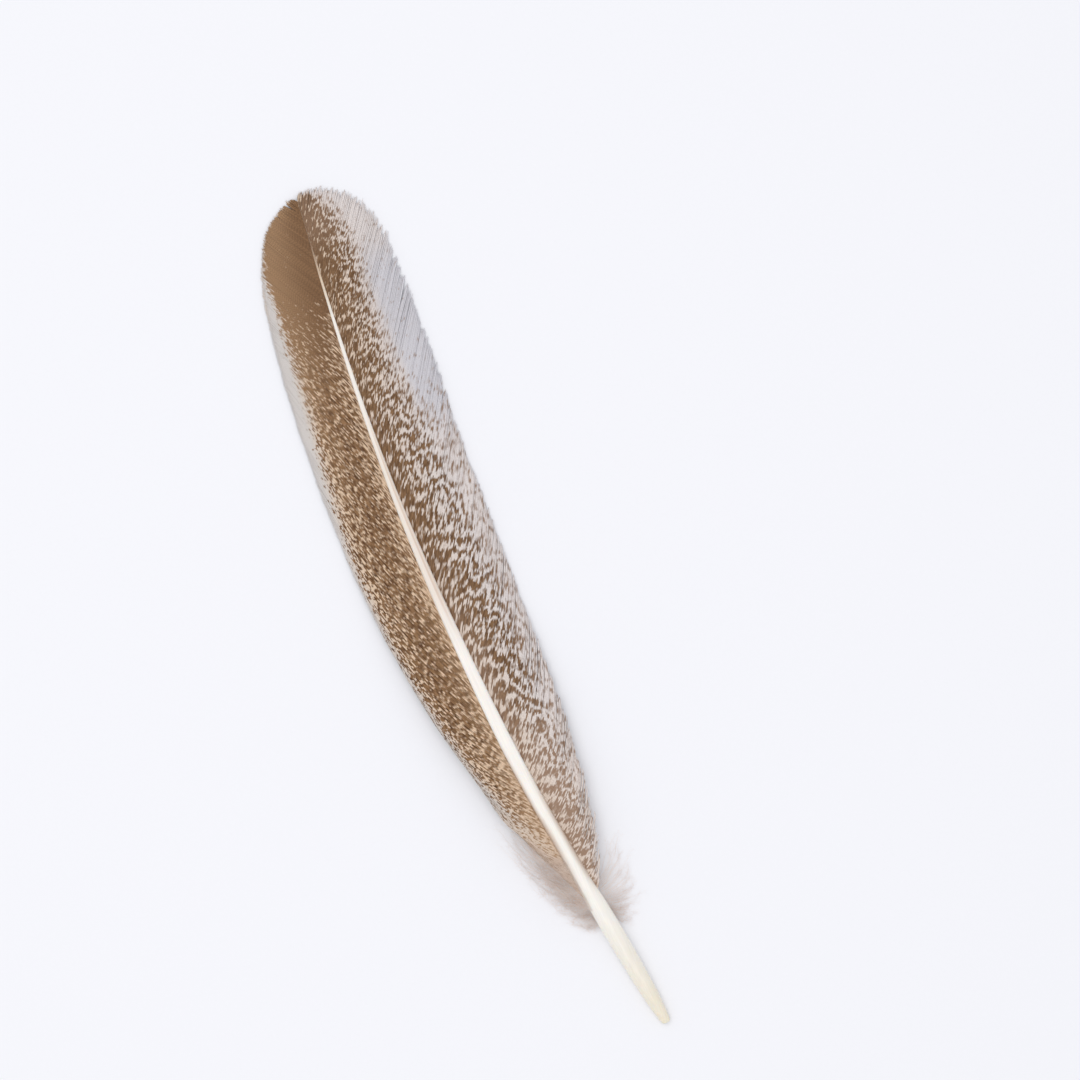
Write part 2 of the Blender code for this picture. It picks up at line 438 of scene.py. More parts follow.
@dataclass
class Strands:
    """Many strands laid from one blank: their points, and what each vertex knows of its place."""

    points: Array
    share: Array
    across: Array
    faces: Faces

    @classmethod
    def lay(cls, blank: Blank, line: Callable[[Array], Array], half_width: Callable[[Array], Array],
            half_height: float, tilt: float = 0.0) -> "Strands":
        """Lay a blank along every line of a fan.

        Args:
            blank: the straight strand.
            line: gives all middle lines, as strand, station, XYZ, for the stations that it is handed.
            half_width: gives half the strands' widths, as strand and station, from their middle lines.
            half_height: half a strand's thickness in millimetres.
            tilt: how much higher a strand's tipward edge lies than its other edge, in half thicknesses.

        Returns:
            The strands.
        """
        verts, faces = blank.make()
        shares = np.array(blank.stations)
        middle = line(shares)
        along, beside = directions(middle)
        beside = unit(beside)
        up = np.cross(along, beside)
        flip = np.sign(up[..., 2:3])
        up = up * flip
        width = half_width(middle)[..., None]
        at = np.abs(verts[:, :1] - shares[None]).argmin(1)
        y, z = verts[:, 1][None, :, None], verts[:, 2][None, :, None]
        points = (middle[:, at] + beside[:, at] * width[:, at] * y
                  + up[:, at] * (z + tilt * y) * half_height)
        count, size = len(middle), len(verts)
        turned = flip[:, len(shares) // 2, 0] < 0
        all_faces = [tuple(vert + strand * size for vert in (face[::-1] if turned[strand] else face))
                     for strand in range(count) for face in faces]
        return cls(points, np.broadcast_to(verts[:, 0], (count, size)),
                   np.broadcast_to(verts[:, 1], (count, size)), all_faces)

    def make(self, name: str, values: dict[str, Array], maps: dict[str, Array]) -> Item:
        """Join the strands in one mesh object.

        Args:
            name: the object's name.
            values: attributes, one number for each vertex.
            maps: UV maps, a pair of numbers for each vertex.

        Returns:
            The object, in the scene.
        """
        mesh = bpy.data.meshes.new(name)
        mesh.from_pydata(PLAN.to_frame(self.points).reshape(-1, 3).tolist(), [], self.faces)
        mesh.shade_smooth()
        corners = np.empty(len(mesh.loops), np.int32)
        mesh.loops.foreach_get("vertex_index", corners)
        note(mesh, values)
        for key, pairs in maps.items():
            layer = mesh.uv_layers.new(name=key)
            spread = np.ascontiguousarray(pairs, np.float32).reshape(-1, 2)[corners]
            layer.uv.foreach_set("vector", spread.ravel())
        item = bpy.data.objects.new(name, mesh)
        bpy.context.scene.collection.objects.link(item)
        return item


# ---------------- finishes

@dataclass(frozen=True)
class BarbFinish:
    """Feather barbs: matt keratin fibres hooked into a sheet, brown with pale flecks that run along them.

    The eye sees soft brown and cream dashes, each one to three barbs wide, with pointed ends.
    """

    name: str
    brown_dark: str
    brown_light: str
    brown_faded: str
    cream: str
    white: str
    # a dimmer, cooler white: painted shade on the pale margin
    shaded_white: str
    dash_mm: tuple[float, float]
    bar_mm: float
    bar_height: float
    contrast: float
    crisp: float
    blurred: float
    bend_mm: tuple[float, float] = (9.0, 5.0)
    bend_depth: float = 14.0
    grain_mm: tuple[float, float] = (3.0, 0.4)
    # how dark each barb is painted at its long edges: painted shade between neighbouring barbs
    groove: float = 0.86
    weave_mm: float = 0.85
    weave_slant: float = 0.8
    weave_depth: tuple[float, float] = (0.03, 0.11)
    weave_bump_mm: float = 0.05
    plain_shade: float = 0.45
    roughness: tuple[float, float] = (0.54, 0.72)

    def make(self) -> Material:
        """Build the material."""
        material, shader, add = new_material(self.name)
        level, blur, creamy, greyed, faded, plain, tone, across = (
            add("Attribute", attribute_name=key).outputs["Fac"]
            for key in ("level", "blur", "creamy", "greyed", "faded", "plain", "tone", "across"))
        place = add("UVMap", uv_map="barbs")
        flecks = self.flecks(add, place, level, blur)
        grain = self.noise(add, place, self.grain_mm, 1.0)
        shade = add("MapRange", {0: grain, 1: 0.3, 2: 0.7})
        shade = add("Mix", {0: plain, 2: shade, 3: self.plain_shade})
        shade = add("Math", {0: shade, 1: tone}, operation="ADD")
        brown, pale = self.brown_dark, self.white
        for share, colour in ((shade, self.brown_light), (faded, self.brown_faded)):
            brown = add("Mix", {0: share, 6: brown, 7: colour}, data_type="RGBA").outputs[2]
        # Painted shade: the white is dimmed to a cooler grey where the margin is shaded.
        for share, colour in ((greyed, self.shaded_white), (creamy, self.cream)):
            pale = add("Mix", {0: share, 6: pale, 7: colour}, data_type="RGBA").outputs[2]
        mottled = add("Mix", {0: flecks, 6: brown, 7: pale}, data_type="RGBA").outputs[2]
        # Painted shade between barbs: each barb darkens towards its long edges, down to groove at the very
        # edge.
        rib = add("Math", {0: across, 1: across}, operation="MULTIPLY")
        painted_edge_shade = add("MapRange", {0: rib, 1: 0.25, 2: 1.0, 3: 1.0, 4: self.groove})
        weave = self.barbules(add, place, plain)
        light = add("Math", {0: painted_edge_shade, 1: weave}, operation="MULTIPLY")
        colour = add("VectorMath", {0: mottled, "Scale": light}, operation="SCALE")
        rough = add("MapRange", {0: grain, 3: self.roughness[0], 4: self.roughness[1]})
        bump = add("Bump", {"Strength": 0.2, "Distance": self.weave_bump_mm * MM, "Height": weave})
        set_inputs(shader, {"Base Color": colour, "Roughness": rough, "Normal": bump,
                                  "Specular IOR Level": 0.25, "Sheen Weight": 0.06})
        return material

    def noise(self, add: Adder, place: Node, size_mm: tuple[float, float], detail: float) -> Node:
        """Noise stretched along the barbs.

        Args:
            add: adds a node to the material.
            place: the place along and across the barbs, in millimetres.
            size_mm: length and width of the noise's features.
            detail: how many finer layers are added.

        Returns:
            The noise.
        """
        scaled = add("Mapping", {"Vector": place, "Scale": (1 / size_mm[0], 1 / size_mm[1], 1.0)})
        return add("TexNoise", {"Vector": scaled, "Scale": 1.0, "Detail": detail,
                                           "Roughness": 0.5}, noise_dimensions="2D")

    def flecks(self, add: Adder, place: Node, level: Socket, blur: Socket) -> Node:
        """The pale flecks: dashes along the barbs that gather in wavy bars across them.

        Args:
            add: adds a node to the material.
            place: the place along and across the barbs, in millimetres.
            level: how pale the surface is, in standard deviations of the noise; 0 is half pale.
            blur: how softly the flecks end, from 0 to 1.

        Returns:
            1 in a fleck and 0 beside it.
        """
        dash = self.noise(add, place, self.dash_mm, 1.0)
        bend = self.noise(add, place, self.bend_mm, 0.5)
        along = add("SeparateXYZ", {0: place})
        bent = add("Math", {0: bend, 1: self.bend_depth, 2: along}, operation="MULTIPLY_ADD")
        both = add("Math", {0: self.wave(add, bent, self.bar_mm), 1: self.bar_height, 2: dash},
                        operation="MULTIPLY_ADD")
        cut = add("Math", {0: level, 1: -self.contrast, 2: 0.5}, operation="MULTIPLY_ADD")
        above = add("Math", {0: both, 1: cut}, operation="SUBTRACT")
        end = add("MapRange", {0: blur, 3: self.crisp, 4: self.blurred})
        start = add("Math", {0: end, 1: -1.0}, operation="MULTIPLY")
        return add("MapRange", {0: above, 1: start, 2: end}, interpolation_type="SMOOTHSTEP")

    def barbules(self, add: Adder, place: Node, plain: Socket) -> Node:
        """Fine slanted lines of the barbules, coarser than real ones so that they can be seen.

        Args:
            add: adds a node to the material.
            place: the place along and across the barbs, in millimetres.
            plain: 1 where the vane is plain and its weave shows more, and 0 elsewhere.

        Returns:
            A brightness close to 1.
        """
        parts = add("SeparateXYZ", {0: place})
        slant = add("Math", {0: parts.outputs[1], 1: self.weave_slant, 2: parts.outputs[0]},
                         operation="MULTIPLY_ADD")
        strength = add("MapRange", {0: plain, 3: self.weave_depth[0], 4: self.weave_depth[1]})
        return add("Math", {0: self.wave(add, slant, self.weave_mm), 1: strength, 2: 0.99},
                        operation="MULTIPLY_ADD")

    def wave(self, add: Adder, distance: Node, period: float) -> Node:
        """A wave from -1 to 1 that repeats once in every period of the distance."""
        turns = add("Math", {0: distance, 1: 2 * math.pi / period}, operation="MULTIPLY")
        return add("Math", {0: turns}, operation="SINE")


@dataclass(frozen=True)
class KeratinFinish:
    """Shaft keratin: smooth and horn-like, glossy ivory on the rachis and clearer and creamy on the quill."""

    name: str = "ivory shaft keratin"
    stops: tuple[tuple[float, str], ...] = (
        (0.0, "ECE4D0"), (0.05, "EEE8DA"), (0.15, "F4F1EA"), (0.46, "F3EEE8"), (0.54, "E8DED4"),
        (0.68, "E8DED3"), (0.76, "F1E9E0"), (0.865, "F3EAE0"), (0.91, "D8C0A6"), (0.95, "7D5C3E"),
        (1.0, "775839"))
    # painted shade, multiplied into the rachis where its shallow hollow would lie in shade
    shade: str = "EADED5"
    # brown of the shaft's tan edges, also used for the partly painted shade line along the rachis's right
    # side
    edge: str = "B08D6E"
    streaks_per_m: tuple[float, float, float] = (2500.0, 60.0, 2500.0)
    bump_mm: float = 0.04
    roughness: tuple[float, float] = (0.24, 0.42)

    def make(self) -> Material:
        """Build the material."""
        material, shader, add = new_material(self.name)
        along, painted_hollow_shade, tan_edges_and_shade = (add("Attribute", attribute_name=key).outputs["Fac"]
                                  for key in ("along", "painted_hollow_shade", "tan_edges_and_shade"))
        spot = add("TexCoord").outputs["Object"]
        stretched = add("Mapping", {"Vector": spot, "Scale": self.streaks_per_m})
        streak = add("TexNoise", {"Vector": stretched, "Scale": 1.0, "Detail": 3.0})
        body = add("ValToRGB", {0: along})
        ramp = body.color_ramp
        for _ in self.stops[2:]:
            ramp.elements.new(0.5)
        for element, (position, colour) in zip(ramp.elements, self.stops):
            element.position = position
            element.color = linear(colour)
        # Painted shade: the right half of the rachis is darkened where its shallow hollow lies.
        hollow_shaded = add("Mix", {0: painted_hollow_shade, 6: body.outputs[0], 7: self.shade},
                          data_type="RGBA", blend_type="MULTIPLY").outputs[2]
        edged = add("Mix", {0: tan_edges_and_shade, 6: hollow_shaded, 7: self.edge}, data_type="RGBA").outputs[2]
        level = add("MapRange", {0: streak, 1: 0.3, 2: 0.7, 3: 0.95, 4: 1.03})
        colour = add("VectorMath", {0: edged, "Scale": level}, operation="SCALE")
        rough = add("MapRange", {0: streak, 3: self.roughness[0], 4: self.roughness[1]})
        bump = add("Bump", {"Strength": 0.3, "Distance": self.bump_mm * MM, "Height": streak})
        set_inputs(shader, {
            "Base Color": colour, "Roughness": rough, "Normal": bump, "IOR": KERATIN_IOR,
            "Subsurface Weight": 0.4, "Subsurface Radius": (1.0, 0.8, 0.6), "Subsurface Scale": 0.0015})
        return material


@dataclass(frozen=True)
class DownFinish:
    """Down: loose, very fine keratin fibres that scatter light, so the tuft looks like pale smoke."""

    name: str = "greyish white down"
    light: str = "F9EADF"
    dark: str = "EAD5C7"
    clouds_per_m: float = 260.0
    roughness: tuple[float, float] = (0.75, 0.95)

    def make(self) -> Material:
        """Build the material."""
        material, shader, add = new_material(self.name)
        spot = add("TexCoord").outputs["Object"]
        cloud = add("TexNoise", {"Vector": spot, "Scale": self.clouds_per_m, "Detail": 3.0})
        level = add("MapRange", {0: cloud, 1: 0.35, 2: 0.65})
        colour = add("Mix", {0: level, 6: self.dark, 7: self.light}, data_type="RGBA").outputs[2]
        rough = add("MapRange", {0: cloud, 3: self.roughness[0], 4: self.roughness[1]})
        set_inputs(shader, {"Base Color": colour, "Roughness": rough, "IOR": KERATIN_IOR,
                                  "Sheen Weight": 0.2})
        return material


# ---------------- the pieces

@dataclass
class Shaft:
    """The quill and rachis, one sweep from the rounded quill end to the fine tip."""

    sides: int = 36
    sections: int = 118
    end_rounding: float = 1.4
    pit_depth: float = 1.1
    pit_floor_share: float = 0.315
    pit_share: float = 0.45
    lip_share: float = 0.66
    rachis_start: float = 50.0
    rachis_full: float = 95.0
    rachis_power: float = 4.6
    groove: float = 0.16

    def section(self, y: float, scale: float) -> Array:
        """One cross-section of the shaft in millimetres: round at the quill, squarer along the rachis."""
        at = np.array([y])
        width, depth = (float(value[0]) for value in PLAN.size(at))
        rachis = float(ease(at, self.rachis_start, self.rachis_full)[0])
        power = 2.0 + (self.rachis_power - 2.0) * rachis
        angle = np.linspace(0, 2 * np.pi, self.sides, endpoint=False)
        across, up = np.cos(angle), np.sin(angle)
        stretch = (np.abs(across) ** power + np.abs(up) ** power) ** (-1 / power) * scale
        height = up * stretch * depth / 2 + self.groove * depth * rachis * np.maximum(-up, 0) ** 12
        ring = PLAN.axis(at) + np.stack([across * stretch * width / 2, 0 * angle, height], -1)
        ring[:, 2] = np.maximum(ring[:, 2], 0)
        return ring

    def stations(self) -> list[tuple[float, float]]:
        """Distances along the shaft with the scale of the section there, from the pit to the tip."""
        first = self.end_rounding
        places = [(self.pit_depth, self.pit_floor_share), (0.0, self.pit_share)]
        places += [(first * (1 - math.cos(turn)), self.lip_share + (1 - self.lip_share) * math.sin(turn))
                   for turn in (0.0, 0.5, 1.0)]
        places += [(first + (PLAN.shaft_length - first) * step / self.sections, 1.0)
                   for step in range(self.sections + 1)]
        return places

    def make(self) -> Item:
        """Extrude a ring along the shaft, fit each ring to its section and dress it."""
        places = self.stations()
        item = start_ring(self.sides, MM, (math.pi / 2, 0, 0))
        item.name = "quill_and_rachis"
        for _ in places[1:]:
            bpy.ops.mesh.extrude_region_move(TRANSFORM_OT_translate={"value": (0, MM, 0)})
        bpy.ops.object.mode_set(mode="OBJECT")
        self.fit(item, places)
        bpy.ops.object.mode_set(mode="EDIT")
        close_outwards()
        bpy.ops.object.shade_smooth_by_angle(angle=math.radians(60))
        item.data.materials.append(KeratinFinish().make())
        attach(item, BODY)
        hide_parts("shaft")
        return item

    def fit(self, item: Item, places: list[tuple[float, float]]) -> None:
        """Move each ring of the extrusion onto its section, and note each vertex's place on the shaft.

        Args:
            item: the extruded ring.
            places: distance and scale for each ring, in the order in which they were extruded.
        """
        mesh = item.data
        points = np.array([vert.co for vert in mesh.vertices], float)
        ring_of = np.rint((points[:, 1] - points[:, 1].min()) / MM).astype(int)
        turn = np.arctan2(points[:, 2], points[:, 0]) % (2 * np.pi)
        spoke = np.rint(turn / (2 * np.pi) * self.sides).astype(int) % self.sides
        rings = np.array([self.section(*place) for place in places])
        placed = rings[ring_of, spoke]
        mesh.vertices.foreach_set("co", PLAN.to_frame(placed).astype(np.float32).ravel())
        y, across = placed[:, 1], np.cos(spoke / self.sides * 2 * np.pi)
        note(mesh, {"along": y / PLAN.shaft_length, "painted_hollow_shade": self.painted_hollow_shade(y, across),
                    "tan_edges_and_shade": self.tan_edges_and_shade(y, across)})
        mesh.update()

    def painted_hollow_shade(self, y: Array, across: Array) -> Array:
        """How deep the painted shade is in the shallow hollow along the right half of the rachis."""
        hollow = ease(across, -0.05, 0.3) * (1 - 0.8 * ease(across, 0.38, 0.6))
        return hollow * ease(y, 140, 162) * ease(y, 232, 205)

    def tan_edges_and_shade(self, y: Array, across: Array) -> Array:
        """How brown the shaft is: on both sides where the vanes begin, and, partly as painted shade, on its
        right side above.
        """
        inner = steps(y, 0.08, (0.27, 73, 84))
        left = 0.85 * ease(y, 50, 72) * ease(y, 110, 92) * ease(-across, inner, 0.95)
        right = 0.7 * ease(y, 46, 62) * ease(y, 100, 76) * ease(across, 0.2, 0.95)
        # Partly painted shade: a thin brown line along the right side of the rachis, beside the wide vane.
        above = 0.28 * ease(y, 84, 112) * ease(y, 232, 205) * ease(across, 0.84, 0.98)
        return np.maximum(np.maximum(left, right), above)


@dataclass(frozen=True)
class Spots:
    """Where each vertex of a vane lies, in millimetres."""

    y: Array  # along the feather
    edge: Array  # from the nearest point of the outer edge
    inner: Array  # from the shaft
    past: Array  # inwards from the border of the pale margin
    reach: Array  # share of the way from the shaft to the edge


@dataclass
class Vane:
    """One vane: a fan of barbs that overlap like shingles, with the pattern's levels at every vertex."""

    name: str
    node: str
    slot: str
    fan: BarbFan
    finish: BarbFinish
    margin: Rows  # width of the pale margin along the feather
    spread: float = 0.72  # half a barb's width, in shares of the gap to the next barb
    finest: float = 0.08
    widest: float = 0.40
    thinning: float = 0.65
    half_height: float = 0.055
    tilt: float = 0.45
    # how much finer the flecks are drawn along the feather, and how much longer they are by the shaft
    closer: Rows = ((49, 1.7), (70, 1.5), (95, 1.1), (120, 1.0), (300, 1.0))
    longer: float = 0.5
    longer_mm: float = 8.0
    shift_mm: float = 0.22  # how far a barb's flecks stand off those of its neighbours
    tones: float = 0.07  # how unequal the barbs' browns are
    bake_columns: int = 3

    def half_width(self, middle: Array) -> Array:
        """Half the barbs' widths: enough to lap over the next barb, less where the barbs hang loose."""
        gaps = np.linalg.norm(directions(middle)[1], axis=-1)
        width = np.clip(gaps * self.spread, self.finest, self.widest)
        loose = self.fan.looseness()[:, None] * ease(np.array(BARB.stations), 0.2, 0.9)
        return width * (1 - self.thinning * loose)

    def barb_map(self, strands: Strands) -> Array:
        """Place along and across the barbs in millimetres, the same all across one barb.

        Where the places grow faster the flecks are drawn finer; near the shaft the place along grows more
        slowly, which draws them longer.
        """
        rng = np.random.default_rng(self.fan.seed + 5)
        middle = self.fan.lines(np.array(BARB.stations))
        step = np.linalg.norm(np.diff(middle, axis=1), axis=-1)
        run = np.concatenate([np.zeros((len(step), 1)), np.cumsum(step, axis=1)], axis=1)
        run = run - self.longer * self.longer_mm * (1 - np.exp(-run / self.longer_mm))
        closer = through(self.closer, self.fan.roots())
        mean = unit((middle[:, 6] - middle[:, 2])[:, :2])
        shift = np.diff(middle[:, 0, :2], axis=0)
        forward = np.cumsum((shift * mean[1:]).sum(-1) * closer[1:, 0])
        apart = np.abs(shift[:, 0] * mean[1:, 1] - shift[:, 1] * mean[1:, 0])
        sideways = np.cumsum(apart * closer[1:, 0])
        start = np.concatenate([[0], forward]) + rng.normal(0, self.shift_mm, len(step))
        row = np.concatenate([[0], sideways])
        at = np.abs(strands.share[0][:, None] - np.array(BARB.stations)[None]).argmin(1)
        along = (run * closer + start[:, None])[:, at]
        return np.stack([along, np.broadcast_to(row[:, None], along.shape)], -1)

    def bake_map(self, strands: Strands) -> Array:
        """A map that gives every barb a row of its own, in a few columns, for the baked colours."""
        count = len(strands.share)
        rows = math.ceil(count / self.bake_columns)
        barb = np.arange(count)[:, None]
        row = (barb // self.bake_columns + 0.5 + 0.40 * strands.across) / rows
        column = (barb % self.bake_columns + 0.01 + 0.98 * strands.share) / self.bake_columns
        return np.stack([column, row], -1)

    def spots(self, strands: Strands) -> Spots:
        """Find out where each vertex of the laid barbs lies on the vane."""
        edge = through(self.fan.guides, np.linspace(self.fan.guides[0][0], self.fan.guides[-1][0], 500))
        flat = strands.points[..., :2].reshape(-1, 2)
        nearest = np.full(len(flat), np.inf)
        for part in np.array_split(edge, 20):
            gaps = np.linalg.norm(flat[:, None] - part[None], axis=-1)
            nearest = np.minimum(nearest, gaps.min(1))
        y = np.clip(flat[:, 1], 0, PLAN.shaft_length)
        side = self.fan.side.value
        outward = side * (np.interp(flat[:, 1], edge[:, 1], edge[:, 0]) - flat[:, 0])
        inward = side * (flat[:, 0] - PLAN.axis(y)[:, 0]) - PLAN.size(y)[0] / 2
        shape = strands.points.shape[:2]
        nearest, outward, inward = (np.maximum(gap, 0).reshape(shape) for gap in (nearest, outward, inward))
        along = strands.points[..., 1]
        margin = through(self.margin, np.clip(along, self.margin[0][0], self.margin[-1][0]))[..., 0]
        return Spots(along, nearest, inward, outward - margin, inward / np.maximum(inward + outward, 1e-6))

    def narrow_levels(self, at: Spots) -> dict[str, Array]:
        """The narrow vane's pattern: cream dashes on brown, a plain brown tip and a pale margin."""
        y, foot, near = at.y, ease(at.y, 108, 58), np.exp(-at.inner / 2.6)
        rim = np.exp(-np.maximum(at.past, 0) / 5.0)
        inside = ease(at.past, -1.6, 1.9)
        outline = 0.45 * ease(at.edge, 1.0, 0.3) * ease(y, 258, 272)
        pale = steps(y, 0.0, (0.04, 236, 200), (0.15, 125, 102), (0.12, 84, 66), (-0.13, 98, 84))
        pale = pale + steps(y, 0.38, (0.24, 128, 165), (0.10, 104, 88)) * near * ease(y, 266, 242)
        pale = pale + steps(y, 0.36, (0.30, 130, 165), (-0.10, 200, 222)) * rim * ease(y, 272, 225)
        creamy = ease(at.past, -1.5, 4.0) * (1 - 0.15 * foot)
        faded = steps(y, 0.0, (0.95, 100, 58), (0.07, 240, 275))
        faded = faded + 0.45 * ease(at.reach, 0.05, 0.9) * ease(y, 185, 262)
        faded_near = steps(y, 0.5, (0.4, 104, 88)) * near * ease(y, 200, 150)
        return {"pale": np.maximum(1 - (1 - pale) * inside, outline),
                "blur": np.maximum(ease(at.reach, 0.9, 0.6), np.maximum(foot, ease(y, 215, 240))),
                "creamy": np.maximum(np.maximum(creamy, outline), 0.75 * foot),
                "greyed": np.zeros_like(y), "faded": np.maximum(faded, faded_near),
                "plain": ease(y, 232, 258) * inside}

    def wide_levels(self, at: Spots) -> dict[str, Array]:
        """The wide vane's pattern: brown near the shaft, mottled in the middle and white at its edge."""
        y, foot = at.y, ease(at.y, 125, 68)
        near = steps(y, 0.17, (0.22, 176, 135), (0.05, 118, 100), (-0.10, 255, 272), (-0.08, 88, 66))
        middle = steps(y, 0.44, (0.02, 112, 90), (-0.08, 228, 245), (-0.13, 255, 272), (-0.13, 98, 74))
        middle = middle - 0.06 * ease(y, 178, 150) * ease(y, 100, 118)
        pale = near + (middle - near) * ease(at.reach, 0.05, 0.34)
        pale = pale + steps(y, 0.13, (-0.18, 112, 92)) * ease(at.reach, 0.45, 0.8)
        pale = 1 - (1 - pale) * ease(at.past, -3.5, 5.0)
        pale = np.minimum(pale, steps(y, 0.84, (0.15, 205, 235)))
        pale = np.maximum(pale, 0.7 * np.exp(-at.edge / 2.0) * ease(y, 285, 293))
        creamy = steps(y, 0.55, (0.45, 200, 270)) - 0.2 * foot
        # Painted shade: the white margin is greyed along its inner border towards the tip.
        greyed = ease(at.past, 2.0, -1.5) * ease(y, 200, 222) * ease(y, 280, 264)
        faded = (0.75 * ease(pale, 0.45, 0.92), 0.9 * ease(y, 130, 86), 0.35 * ease(y, 274, 290),
                 0.5 * ease(y, 185, 115) * ease(at.reach, 0.4, 0.0))
        return {"pale": pale, "blur": ease(pale, 0.35, 0.85) * (1 - 0.7 * foot),
                "creamy": 0.9 * ease(at.reach, 0.75, 0.0) * creamy + 0.25 * foot,
                "greyed": greyed, "faded": np.max(faded, axis=0), "plain": 0.5 * ease(y, 262, 285)}

    def pattern(self, strands: Strands) -> dict[str, Array]:
        """How pale, how creamy and how faded each vertex is."""
        levels = self.narrow_levels if self.fan.side is Side.LEADING else self.wide_levels
        found = levels(self.spots(strands))
        return {"level": probit(found.pop("pale")), **{key: np.clip(found[key], 0, 1) for key in found}}

    def make(self) -> Item:
        """Lay the barbs, join them and dress them."""
        strands = Strands.lay(BARB, self.fan.lines, self.half_width, self.half_height, self.tilt)
        rng = np.random.default_rng(self.fan.seed + 1)
        tone = np.broadcast_to(rng.normal(0, self.tones, (len(strands.share), 1)), strands.share.shape)
        values = {"across": strands.across, "tone": tone, **self.pattern(strands)}
        maps = {"OFBake": self.bake_map(strands), "barbs": self.barb_map(strands)}
        item = strands.make(self.name, values, maps)
        item.data.materials.append(self.finish.make())
        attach(item, BODY)
        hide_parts(self.node)
        return item


@dataclass
class DownTuft:
    """A tuft of down: fine lax barbs, each with soft barbules along both sides."""

    name: str
    node: str
    fans: tuple[BarbFan, ...]
    barbules: int
    barbule_mm: float
    barb_half_width: float = 0.055
    barbule_half_width: float = 0.013
    curl: float = 0.9  # how far a barb waves to the side
    fanning: float = 1.2  # how far barbules turn out of the tuft's plane, in radians
    scatter: float = 0.12
    barb_gap: float = 0.12  # how far above the floor the lowest barbs and barbules stay
    barbule_gap: float = 0.05

    def wavy_lines(self, shares: Array) -> Array:
        """The middle lines of the down's barbs, waving as they go."""
        middle = np.concatenate([fan.lines(shares) for fan in self.fans])
        rng = np.random.default_rng(self.fans[0].seed + 7)
        sway = np.stack([wander(rng, middle.shape[:2], (middle.shape[0], 5)) for _ in range(3)], -1)
        sway[..., 2] *= 0.5
        moved = middle + sway * self.curl * shares[None, :, None]
        moved[..., 2] = np.maximum(moved[..., 2], self.barb_gap)
        return moved

    def barbule_lines(self, shares: Array) -> Array:
        """The middle lines of all barbules, leaving the barbs at a slant and bending towards their tips."""
        rng = np.random.default_rng(self.fans[0].seed + 13)
        knots = np.linspace(0.06, 0.98, self.barbules)
        fine = np.linspace(0, 1, 40)
        barbs = self.wavy_lines(fine)
        lines = []
        for barb in barbs:
            at = np.clip(knots + rng.normal(0, 0.01, self.barbules), 0.02, 0.99)
            start = np.stack([np.interp(at, fine, barb[:, axis]) for axis in range(3)], -1)
            ahead = np.stack([np.interp(at + 0.01, fine, barb[:, axis]) for axis in range(3)], -1)
            forward = unit(ahead - start)
            turn = rng.uniform(-1, 1, self.barbules) * self.fanning
            turn = turn + np.where(rng.random(self.barbules) < 0.5, 0, np.pi)
            beside = unit(np.cross(forward, [0, 0, 1.0]))
            above = np.cross(beside, forward)
            out = beside * np.cos(turn)[:, None] + above * 0.6 * np.sin(turn)[:, None]
            length = self.barbule_mm * rng.uniform(0.6, 1.25, self.barbules) * (1 - 0.35 * at)
            s = shares[None, :, None]
            size = length[:, None, None]
            bend = out[:, None] * (0.85 * s - 0.25 * s**2) + forward[:, None] * 0.6 * s**1.4
            path = start[:, None] + size * bend
            path = path + rng.normal(0, self.scatter, (self.barbules, 1, 3)) * s**2 * size
            lines.append(path)
        made = np.concatenate(lines)
        made[..., 2] = np.maximum(made[..., 2], self.barbule_gap)
        return made

    def make(self) -> Item:
        """Lay the barbs and barbules, join them and dress them."""
        stems, item = (
            Strands.lay(blank, lines, lambda middle: np.full(middle.shape[:2], half), half).make(name, {}, {})
            for name, blank, lines, half in (
                (self.name + "_barbs", DOWN_BARB, self.wavy_lines, self.barb_half_width),
                (self.name, BARBULE, self.barbule_lines, self.barbule_half_width)))
        bpy.ops.object.select_all(action="DESELECT")
        stems.select_set(True)
        item.select_set(True)
        bpy.context.view_layer.objects.active = item
        bpy.ops.object.join()
        item.data.materials.append(DownFinish().make())
        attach(item, BODY)
        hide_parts(self.node)
        return item


# ---------------- studio

